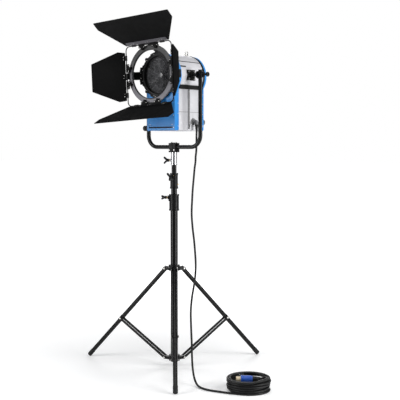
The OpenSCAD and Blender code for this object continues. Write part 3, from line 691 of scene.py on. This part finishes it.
def make_gland():
    """The lead's gland: flange, hexagonal nut, elbow and a ribbed, tapering strain relief."""
    y, z = 52, -273
    out = facing(head(105.5, y, z), (1, 0, 0))
    bm = bmesh.new()
    lathe(bm, [(0, -1), (21, -1), (21, 3.4), (20, 5), (17, 5.6), (15.5, 5), (15, 4.2), (0, 4.2)], out, 56)
    for k in range(4):
        pan_screw(bm, out @ turn("Z", 45 + 90 * k) @ move(0.0178, 0, 0.0052), 1.7, 1.2)
    piece("gland_flange", bm, "trim", "head", ["cable_gland"])
    bm = bmesh.new()
    lathe(bm, [(0, 4), (14, 4), (14.6, 5), (14.6, 11), (13.6, 12), (11, 12.4), (0, 12.4)], out, 6)
    bend = [Vector((0.0, 0.0, 0.0))] + [mm(17 + 12 * math.sin(t), 0, -12 + 12 * math.cos(t))
                                       for t in (math.radians(15 * k) for k in range(7))]
    elbow = [head(105.5, y, z) + p for p in bend] + [head(134, y, z - 20)]
    sweep(bm, elbow, [10.5, 10.8] + [11] * (len(elbow) - 3) + [11.4], 28)
    piece("gland_elbow", bm, "gland", "head")
    bm = bmesh.new()
    down = facing(head(134, y, z - 18), (0, 0, -1))
    profile = [(0, 0), (12, 0), (12.4, 1), (12.4, 7), (11.4, 8)]
    for k in range(6):
        r = 9.6 - 0.5 * k
        profile += [(r - 0.9, 9 + 5 * k), (r, 10 + 5 * k), (r, 12.4 + 5 * k), (r - 0.9, 13 + 5 * k)]
    lathe(bm, profile + [(6.3, 42), (0, 42)], down, 32)
    piece("strain_relief", bm, "foot", "head")
    bm = bmesh.new()
    route = (109.5, 38, -268), (112, 27, -275), (112.5, 17, -292), (111, 12, -308), (108.8, 11, -316)
    wire = [head(*p) for p in route]
    sweep(bm, curve_through(wire, 0.003), 1.6, 10)
    piece("ground_wire", bm, "trim", "head")


make_gland()
lens_axis = facing(LAMP, (0, -1, 0))                   # Z runs forwards, out of the lens


def make_lens():
    """The stepped lens: a bull's-eye, rings of prisms and a pebbled back."""
    rim, back, low, high = 115.0, 112.0, 117.6, 122.6
    grooves = 26
    eye = 13.0
    front = [(eye * k / 6, high - 0.4 + math.sin((1 - k / 6) * math.pi / 2)) for k in range(7)]
    pitch = (rim - 3 - eye) / grooves
    prisms = []
    for k in range(grooves):
        inner = eye + pitch * k
        prisms.append((inner + 0.15, low + 1.4))
        prisms.append((inner + pitch * 0.94, high - 0.2 + 0.4 * k / grooves))
    outer = [(rim - 3, high - 1.5), (rim - 1, high - 2), (rim, high - 3.2), (rim, back + 0.6),
             (rim - 0.6, back)]
    bm = bmesh.new()
    lathe(bm, front + prisms + outer, lens_axis, 128)
    piece("lens_front", bm, "lens", "lens_door", ["fresnel_lens"], angle=22)
    bm = bmesh.new()
    rings = []
    count = 44
    for i in range(count + 1):
        r = (rim - 0.6) * i / count
        if i == 0:
            rings.append([bm.verts.new(lens_axis @ mm(0, 0, back))])
            continue
        ring = []
        for k in range(160):
            a = TAU * k / 160
            x, y = r * math.cos(a), r * math.sin(a)
            bumps = noise.noise(Vector((x / 4.2, y / 4.2, 3.7)))
            depth = 0.45 * bumps if i < count else 0
            ring.append(bm.verts.new(lens_axis @ mm(x, y, back + depth)))
        rings.append(ring)
    for a, b in zip(rings, rings[1:]):
        skin(bm, a, b)
    piece("lens_back", bm, "lens", "lens_door", angle=80)


make_lens()


def make_lamp():
    """The discharge lamp: quartz bulb, stems, electrodes and end caps, on a ceramic base."""
    low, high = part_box("lamp_bulb")
    middle = Vector(((low.x + high.x) / 2, (low.y + high.y) / 2, LAMP.z))
    up = facing(middle, (0, 0, 1))
    bm = bmesh.new()
    bulb = [(20 * math.cos(t), 20 * math.sin(t)) for t in (math.radians(a) for a in range(-66, 67, 11))]
    lathe(bm, [(0, -50), (7.4, -50), (8, -48), (8, -22), *bulb, (7, 22), (6.6, 33), (0, 34)], up, 40)
    piece("lamp_quartz", bm, "quartz", "lamp_carriage", ["lamp_bulb"])
    bm = bmesh.new()
    for s in (-1, 1):
        rod = up @ (Matrix.Identity(4) if s > 0 else turn("X", 180))
        lathe(bm, [(0, 5), (1.8, 5.4), (2.4, 7), (2.4, 12), (1, 12.6), (1, 31), (0, 31)], rod, 14)
    piece("lamp_electrodes", bm, "zinc", "lamp_carriage")
    bm = bmesh.new()
    lathe(bm, [(0, -62), (9, -62), (9, -50), (8.2, -48), (0, -48)], up, 32)
    for k in range(5):
        rib = [(17, -70 - 14 * k), (17.9, -71 - 14 * k), (17.9, -75 - 14 * k), (17, -76 - 14 * k)]
        lathe(bm, rib, up, 40, closed=True)
    piece("lamp_base", bm, "ceramic", "lamp_carriage")


make_lamp()


def make_head_screws():
    bm = bmesh.new()
    for s in (-1, 1):
        for y in (-91, 143):
            for z in (-108, -168, -228, -300):
                pan_screw(bm, facing(head(s * (108.0 if y < 0 else 107.5), y, z), (s, 0, 0)), 2.8, 1.4)
        for z in (-96, -142, -188, -236, -284, -306):
            pan_screw(bm, facing(head(s * 108.5, 11, z), (s, 0, 0)), 2.4, 1.2)
    for x in (-99, 99):
        for z in (-148, -238, -310):
            pan_screw(bm, facing(head(x, -122, z), (0, -1, 0)), 2.8, 1.5)
    for x in (-86, 86):
        for z in (-88, -292):
            pan_screw(bm, facing(head(x, -120.5, z), (0, -1, 0)), 2.4, 1.2)
    for angle in range(-80, 81, 32):
        a = math.radians(angle)
        pan_screw(bm, facing(head(119 * math.sin(a), 158, 119 * math.cos(a)), (0, 1, 0)), 2.8, 1.5)
    for x in (-94, 94):
        for z in (-90, -200, -310):
            pan_screw(bm, facing(head(x, 158, z), (0, 1, 0)), 2.8, 1.5)
    piece("head_screws", bm, "zinc", "head")


def make_rear_screws():
    bm = bmesh.new()
    for x in (-88, 88):
        out = facing(head(x, 158, -275), (0, 1, 0))
        lathe(bm, [(0, -0.5), (7, -0.5), (7, 2), (16, 2.4), (18, 4), (18, 12), (16.8, 14.4), (12, 15.6),
                   (10.6, 15), (0, 14.8)], out, 112, flute=(28, 1.0))
    piece("rear_thumbscrews", bm, "gland", "head", ["rear_knob"])


def make_pivot_bolts():
    bm = bmesh.new()
    for s in (-1, 1):
        for y in (-24, 24):
            for z in (-21, 21):
                out = facing(head(s * 138, y, z), (s, 0, 0))
                lathe(bm, [(0, 0), (6.4, 0), (6.4, 0.9), (5, 1.1), (5, 3.8), (4.4, 4.4), (2.8, 4.4), (2.6, 2),
                           (0, 2)], out, 24)
    piece("pivot_bolts", bm, "zinc", "head")


def make_focus_knob():
    out = facing(head(0, -100, -313), (-1, 0, 0))
    drum = 8.0
    bm = bmesh.new()
    lathe(bm, [(0, 108.6), (11.4, 108.6), (12, 110), (12, 127), (13.6, 128), (15.6, 129.5), (16.4, 132),
               (16.4, 146), (15.2, 149), (12, 150), (10.5, 149.2), (0, 149)], out, 96, flute=(14, 1.6))
    piece("focus_grip", bm, "knob", "focus_knob", ["focus_knob"])
    bm = bmesh.new()
    lathe(bm, [(0, 26), (drum, 26), (drum, 41), (5, 41.4), (5, 110), (0, 110)], out, 32)
    screw = [(0, 148.4), (4.2, 148.4), (4.2, 149.6), (3.2, 150), (1.2, 150), (1, 149.3), (0, 149.3)]
    lathe(bm, screw, out, 20)
    piece("focus_shaft", bm, "zinc", "focus_knob")


make_head_screws()
make_rear_screws()
make_pivot_bolts()
make_focus_knob()


def make_door_details():
    """Screws on the lens door, its inner bezel and lugs."""
    bm = bmesh.new()
    for k in range(12):
        spot = lens_axis @ turn("Z", 15 + 30 * k) @ move(0.1255, 0, 0.145)
        pan_screw(bm, spot, 2.6, 1.5)
    piece("door_screws", bm, "zinc", "lens_door")
    bm = bmesh.new()
    bezel = [(112, 145), (115.5, 145.4), (116.5, 146.6), (115.5, 147.8), (112.6, 147.4), (111.2, 144),
             (111.2, 124.2), (112, 124)]
    lathe(bm, bezel, lens_axis, 128, closed=True)
    piece("door_bezel", bm, "head_black", "lens_door")
    bm = bmesh.new()
    ring = [(106.6, 123.6), (111.4, 123.6), (111.4, 126), (110.6, 126.8), (107.2, 125.4)]
    lathe(bm, ring, lens_axis, 128, closed=True)
    for k in range(6):
        clip = lens_axis @ turn("Z", 30 + 60 * k)
        block(bm, (100, 111.5), (-5, 5), (124.4, 125.6), clip)
        pan_screw(bm, clip @ move(0.1085, 0, 0.1256), 2.0, 1.2)
    piece("lens_clips", bm, "head_black", "lens_door", bevel=0.2)
    bm = bmesh.new()
    for k in range(3):
        arm = turn("Y", 90 * (k + 1))
        for x in (-14, 14):
            spot = Matrix.Translation(LAMP) @ arm @ move(x / 1000, -0.149, 0.129)
            hex_nut(bm, spot @ turn("X", 90), 4.6, 3)
    piece("bracket_bolts", bm, "zinc", "lens_door")


make_door_details()


# ---- barndoors --------------------------------------------------------------------------------

BARNDOOR_TURN = 3
HINGE_Y, HINGE_R, LEAF_GAP = -223, 176, 6.2
KNUCKLES = [(-110, 30), (0, 40), (110, 30)]
barndoor = Matrix.Translation(LAMP) @ turn("Y", -BARNDOOR_TURN)


def make_ring_details():
    """The rolled edge of the ring's lip, and the rivets of the hinge plates."""
    lip = barndoor @ turn("X", 90)
    bm = bmesh.new()
    bead = [(140.5, 214), (143.5, 214), (143.5, 215.4), (142.9, 216), (141, 216), (140.3, 215.4)]
    lathe(bm, bead, lip, 128, closed=True)
    piece("ring_lip", bm, "head_black", "barndoor")
    bm = bmesh.new()
    for k in range(4):
        side = barndoor @ turn("Y", 90 * k)
        for x in (-67, -33, 33, 67):
            dome(bm, side @ move(x / 1000, -0.2245, 0.1625) @ turn("X", 90), 2.6, 1.4)
    piece("ring_rivets", bm, "zinc", "barndoor")


def wide_outline():
    w0, w1, end = 165, 288, 208
    return [(-w0, -LEAF_GAP), (-w1, 53 - end), (-w1, -end), (w1, -end), (w1, 53 - end), (w0, -LEAF_GAP)]


def side_outline():
    w0, w1, end = 142, 82, 210
    return [(-w0, -LEAF_GAP), (-w0 - 6, -50), (-w1, -end), (w1, -end), (w0 + 6, -50), (w0, -LEAF_GAP)]


def make_leaf(name, around, flare, outline, strip_w, strip="leaf"):
    """One leaf: thin sheet with a folded hem, a strip along its hinge, and its knuckles and rivets."""
    on_hinge = barndoor @ turn("Y", around) @ move(0, HINGE_Y / 1000, HINGE_R / 1000) @ turn("X", -flare)
    bm = bmesh.new()
    edge = rounded(outline, 5)
    slab(bm, edge, -0.7, 0.7, on_hinge)
    border(bm, edge, inset_smooth(outline, 6.5), -1.5, -0.6, on_hinge)
    border(bm, edge, inset_smooth(outline, 6.5), 0.6, 1.2, on_hinge)
    piece(name + "_sheet", bm, "leaf", name, [name], bevel=0.35)
    bm = bmesh.new()
    bent = on_hinge @ move(0, -LEAF_GAP / 1000, -0.0012) @ turn("X", 5)
    corners = [(-strip_w, -2), (-strip_w + 3, -25), (strip_w - 3, -25), (strip_w, -2)]
    slab(bm, rounded(corners, 2.5), -1.2, 0, bent)
    piece(name + "_strip", bm, strip, name, bevel=0.25)
    bm = bmesh.new()
    for centre, width in KNUCKLES:
        barrel = on_hinge @ move(centre / 1000, 0, 0) @ turn("Y", 90)
        half = width / 2
        sleeve = [(3.05, -half), (5.4, -half), (6, -half + 0.7), (6, half - 0.7), (5.4, half), (3.05, half)]
        lathe(bm, sleeve, barrel, 32, closed=True)
        block(bm, (centre - half + 1, centre + half - 1), (-LEAF_GAP - 7, -3.2), (-1.3, 1.3), on_hinge)
    piece(name + "_knuckles", bm, "head_black", name, bevel=0.3)
    bm = bmesh.new()
    for centre, _ in KNUCKLES:
        for dx in (-8, 8):
            spot = on_hinge @ move((centre + dx) / 1000, -(LEAF_GAP + 11) / 1000, 0)
            dome(bm, spot @ move(0, 0, 0.0008), 2.8, 1.5)
            dome(bm, spot @ move(0, 0.0, -0.0026) @ turn("X", 180), 2.8, 1.7)
    piece(name + "_rivets", bm, "zinc", name)


def inset_smooth(outline, distance):
    return rounded(inset(outline, distance), 3)


make_ring_details()
# the top leaf's strip takes the lighter grey of the painted sheen
make_leaf("leaf_top", 0, 42, wide_outline(), 158, "strip")
make_leaf("leaf_right", 90, 50, side_outline(), 134)
make_leaf("leaf_bottom", 180, 28, wide_outline(), 158)
make_leaf("leaf_left", 270, 50, side_outline(), 134)


# ---- yoke and stand ---------------------------------------------------------------------------

def make_tilt_knob():
    out = facing(head(0, 0, 0), (1, 0, 0))
    face = 216.0
    bm = bmesh.new()
    star = [(0, 0), (17, 0), (19.4, 2), (19.4, 10.5), (17.6, 13), (8, 14), (0, 14)]
    handle = [(7.2, 13), (6.6, 18), (6.4, 30), (8, 33), (12.6, 35), (14, 38), (14, 43), (12.6, 46.4),
              (8, 47), (0, 47)]
    lathe(bm, [(r, face + z) for r, z in star], out, 120, flute=(6, 5))
    lathe(bm, [(r, face + z) for r, z in handle], out, 64)
    piece("tilt_grip", bm, "knob", "tilt_knob", ["tilt_knob"])


def make_wing_knob(body, turned, height, tip, face, spin):
    """A clamp screw with a brass collar and a moulded grip, its two wings spreading outwards."""
    out = turn("Z", turned) @ move(0, 0, height) @ turn("X", spin) @ turn("Y", -90)
    bm = bmesh.new()
    lathe(bm, [(0, tip), (3.2, tip + 0.8), (3.9, tip + 2), (3.9, face + 14), (0, face + 14)], out, 24)
    lathe(bm, [(4, face), (6.6, face), (7, face + 0.6), (7, face + 3.6), (4, face + 4)], out, 6)
    piece(body + "_screw", bm, "brass", body, [body])
    bm = bmesh.new()
    hub = [(0, 4), (8.6, 4), (9.8, 5.4), (10, 12), (8.8, 16), (5, 17.8), (0, 18)]
    lathe(bm, [(r, face + z) for r, z in hub], out, 40)
    steps, reach = 12, 35
    rounding = {steps: 5.0, steps - 1: 1.4}
    radii = [6.2 + 0.9 * math.sin(math.pi * k / steps) - rounding.get(k, 0) for k in range(steps + 1)]
    for side in (-1, 1):
        wing = []
        for k in range(steps + 1):
            along = reach * k / steps
            spread = math.radians(30 + 16 * k / steps)
            wing.append(out @ mm(0, side * along * math.sin(spread), face + 11 + along * math.cos(spread)))
        sweep(bm, wing, radii, 20, flat=0.8)
    piece(body + "_grip", bm, "knob", body)


def make_yoke_details():
    low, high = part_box("yoke_tube")
    half = (high.x - low.x) / 2 * 1000 - 12.5
    bm = bmesh.new()
    for s in (-1, 1):
        lathe(bm, [(0, 24), (12.5, 24), (12.9, 24.6), (12.9, 27), (11.6, 29), (7, 30.2), (0, 30.4)],
              facing(head(s * half, 0, 0), (0, 0, 1)), 40)
    piece("yoke_caps", bm, "knob", "yoke")
    bm = bmesh.new()
    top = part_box("saddle")[1].z
    for x in (-18, 18):
        hex_nut(bm, facing((x / 1000, 0, top - 0.005), (0, 0, 1)), 7.5, 4.2)
    for s in (-1, 1):
        for x in (-18, 18):
            spot = facing((x / 1000, s * 0.021, top - 0.047), (0, s, 0))
            hex_nut(bm, spot, 5.2, 3)
    piece("saddle_bolts", bm, "zinc", "yoke")


def make_foot(k):
    """A ribbed rubber cap on the leg's end, worn flat where it stands."""
    hinge = Vector(joints[f"leg_{k}_hinge"]["pos_m"])
    heel = Vector((hinge.x, hinge.y, 0)).normalized() * 0.622 + Vector((0, 0, 0.016))
    sleeve = facing(heel, (hinge - heel).normalized())
    profile = [(0, -9.4), (4, -10), (11.6, -10), (13.4, -9.2), (14.2, -7.4), (14.2, 2)]
    for n in range(4):
        z = 3.4 + 6.2 * n
        profile += [(13.6, z), (13.6, z + 1.6), (14.2, z + 2.2), (14.2, z + 4.6)]
    profile += [(14.2, 31), (13.9, 33.2), (13.2, 34), (13.0, 34), (13.0, 20), (0, 20)]
    bm = bmesh.new()
    lathe(bm, profile, sleeve, 56)
    bmesh.ops.remove_doubles(bm, verts=bm.verts, dist=1e-7)
    cut = bmesh.ops.bisect_plane(bm, geom=bm.verts[:] + bm.edges[:] + bm.faces[:], plane_co=(0, 0, 0),
                                 plane_no=(0, 0, -1), clear_outer=True)
    bmesh.ops.holes_fill(bm, edges=[e for e in cut["geom_cut"] if isinstance(e, bmesh.types.BMEdge)])
    piece(f"foot_cap_{k}", bm, "foot", f"leg_{k}", [f"foot_{k}"])


def make_pins():
    """Round heads on the pins of the legs and braces."""
    on_collar, on_base = bmesh.new(), bmesh.new()
    for k in (1, 2, 3):
        for bm, joint, reach in ((on_collar, f"leg_{k}_hinge", 20.0), (on_base, f"brace_{k}_hinge", 21.5)):
            pos, axis = Vector(joints[joint]["pos_m"]), Vector(joints[joint]["axis"])
            for s in (-1, 1):
                dome(bm, facing(pos + axis * (s * reach / 1000), axis * s), 6.2, 2.6, 24)
    piece("collar_pins", on_collar, "zinc", "leg_collar")
    piece("brace_pins", on_base, "zinc", "stand_base")


def make_brace_ends():
    """Rivet heads where the braces hold the legs."""
    lean, length = math.radians(56.27), 0.38512        # of a brace, with the legs open
    for k in (1, 2, 3):
        pivot = Vector(joints[f"brace_{k}_hinge"]["pos_m"])
        axis = Vector(joints[f"brace_{k}_hinge"]["axis"])
        outwards = Vector((pivot.x, pivot.y, 0)).normalized()
        top = pivot + (outwards * math.sin(lean) + Vector((0, 0, math.cos(lean)))) * length
        bm = bmesh.new()
        for s in (-1, 1):
            dome(bm, facing(top + axis * (s * 0.021), axis * s), 6.2, 2.4, 24)
        piece(f"brace_rivets_{k}", bm, "zinc", f"brace_{k}")


def make_stand_details():
    bm = bmesh.new()
    for angle in (90, 210, 330):
        a = math.radians(angle + 12)
        out = Vector((math.cos(a), math.sin(a), 0))
        dome(bm, facing(out * 0.0338 + Vector((0, 0, 0.613)), out), 4.6, 2, 24)
    piece("collar_screws", bm, "zinc", "leg_collar")
    bm = bmesh.new()
    for z in (0.969, 1.053):
        band = [(28.6, -1.4), (30.4, -1.2), (30.8, 0), (30.4, 1.2), (28.6, 1.4)]
        lathe(bm, band, move(0, 0, z), 64, closed=True)
    for a, z in ((math.radians(-20), 0.985), (math.radians(160), 0.985), (math.radians(160), 1.02)):
        out = Vector((math.cos(a), math.sin(a), 0))
        dome(bm, facing(out * 0.0288 + Vector((0, 0, z)), out), 4, 2, 24)
    piece("lower_clamp_trim", bm, "stand", "stand_base")
    bm = bmesh.new()
    for z in (1.104, 1.179):
        band = [(22.8, -1.2), (24.4, -1), (24.8, 0), (24.4, 1), (22.8, 1.2)]
        lathe(bm, band, move(0, 0, z), 56, closed=True)
    piece("upper_clamp_trim", bm, "stand", "mid_riser")
    bm = bmesh.new()
    for a, z in ((math.radians(-62), 1.171), (math.radians(40), 1.12)):
        out = Vector((math.cos(a), math.sin(a), 0))
        hex_nut(bm, facing(out * 0.0226 + Vector((0, 0, z)), out), 4.4, 2.6)
    piece("upper_clamp_screws", bm, "brass", "mid_riser")
    bm = bmesh.new()
    lathe(bm, [(22, 2), (22.6, 1.6), (22.6, -8), (19, -8.6), (19, 2)], move(0, 0, 0.042), 48, closed=True)
    piece("column_cap", bm, "knob", "stand_base")


make_tilt_knob()
make_wing_knob("lower_knob", 40, 1.041, 19, 40.5, 20)
make_wing_knob("upper_knob", 100, 1.167, 16, 33.5, 70)
make_wing_knob("receiver_knob", 40, 1.266, 15, 25.5, 55)
make_yoke_details()
for number in (1, 2, 3):
    make_foot(number)
make_pins()
make_brace_ends()
make_stand_details()


# ---- finishes of the CAD nodes ----------------------------------------------------------------

FINISH = {                                             # node: (material, edge width in mm)
    "column_tube": ("riser", 0.4), "brace_collar": ("cast", 1.2), "lower_clamp": ("cast", 1.2),
    "leg_collar": ("cast", 1.0), "leg_1": ("stand", 0.4), "leg_2": ("stand", 0.4), "leg_3": ("stand", 0.4),
    "brace_1": ("stand", 0.4), "brace_2": ("stand", 0.4), "brace_3": ("stand", 0.4),
    "mid_riser_tube": ("riser", 0.4), "upper_clamp": ("cast", 1.0), "top_riser_tube": ("riser", 0.4),
    "receiver": ("chrome", 0.8), "saddle": ("cast", 1.2), "spigot": ("chrome", 0.6),
    "yoke_tube": ("yoke", 0.3),
    "pivot_boss_left": ("head_black", 1.0), "pivot_boss_right": ("head_black", 1.0),
    "front_frame": ("blue", 0.9), "front_baffle": ("slot_dark", 0.2), "housing_shell": ("silver", 0.3),
    "shell_trim": ("trim", 0.4), "rubber_trim": ("rail", 0.8), "rear_cover": ("blue", 1.0),
    "safety_eye": ("zinc", 0.6), "guide_rods": ("chrome", 0.3), "lamp_carriage": ("sheet", 0.4),
    "lamp_socket": ("ceramic", 0.8), "reflector": ("mirror", 0.2), "focus_belt": ("rail", 0.2),
    "door_hinge": ("head_black", 0.6), "lens_door": ("head_black", 1.0), "lens_retainer": ("head_black", 0.3),
    "accessory_brackets": ("head_black", 0.8), "door_latch": ("head_black", 0.8),
    "top_latch": ("head_black", 0.8),
    "barndoor_ring": ("ring", 0.8), "barndoor_frame": ("leaf", 0.3),
}


def finish_node(name, material, width):
    node = nodes[name]
    custom = node.data.attributes.get("custom_normal")
    if custom:
        node.data.attributes.remove(custom)
    node.data.materials.clear()
    node.data.materials.append(M[material])
    node.data.shade_smooth()
    weld = node.modifiers.new("weld", "WELD")
    weld.merge_threshold = 1e-6
    soften(node, width)
    even = node.modifiers.new("normals", "WEIGHTED_NORMAL")
    even.keep_sharp = True


for node_name, (material_name, edge_width) in FINISH.items():
    finish_node(node_name, material_name, edge_width)



def second_finish(name, material, chosen):
    """Gives the faces of a CAD node whose centre is chosen another material."""
    node = nodes[name]
    node.data.materials.append(M[material])
    for face in node.data.polygons:
        face.material_index = int(chosen(node.matrix_world @ face.center))


second_finish("shell_trim", "seam", lambda centre: centre.z > LAMP.z - 0.05)
second_finish("spigot", "cast", lambda centre: abs(centre.y) > 0.0205)
